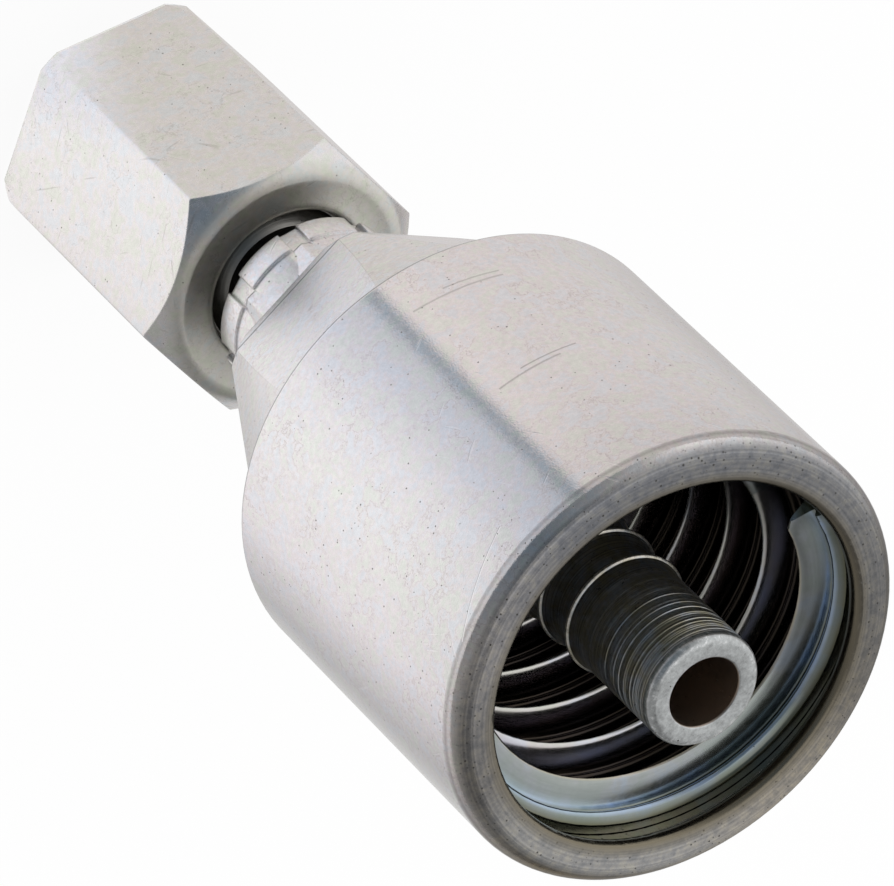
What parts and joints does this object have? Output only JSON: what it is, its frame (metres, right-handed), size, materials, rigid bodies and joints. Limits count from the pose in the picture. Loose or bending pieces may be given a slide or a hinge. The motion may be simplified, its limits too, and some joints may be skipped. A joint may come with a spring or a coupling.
{
  "type": "hydraulic hose coupling",
  "caption": "Swivel-nut hose coupling: long hex nut on a bored stem, six-sided tapered ferrule and a shell with a ribbed coil insert.",
  "frame": {"origin": "centre of the nut's front face, on which the coupling stands", "axes": "+Z along the coupling's axis from the nut to the hose end; a shoulder flat of the ferrule faces -Y"},
  "size_m": [0.026, 0.026, 0.0607],
  "materials": {
    "nut_zinc_plate": "bright zinc plate over machined flats, fine specks",
    "ferrule_zinc_plate": "bright zinc plate over turned steel, rougher and darker on the rolled lip",
    "stem_steel": "turned steel with fine grooves",
    "coil_steel": "rolled strip, plated, bright on its ribs"
  },
  "bodies": {
    "coupling": {"stem": "stem_steel", "ferrule": "ferrule_zinc_plate", "coil_insert": "coil_steel"},
    "nut": {"swivel_nut": "nut_zinc_plate"}
  },
  "joints": [
    {"name": "nut_swivel", "type": "hinge", "parent": "coupling", "child": "nut", "pos_m": [0, 0, 0.015], "axis": [0, 0, 1], "continuous": true}
  ]
}
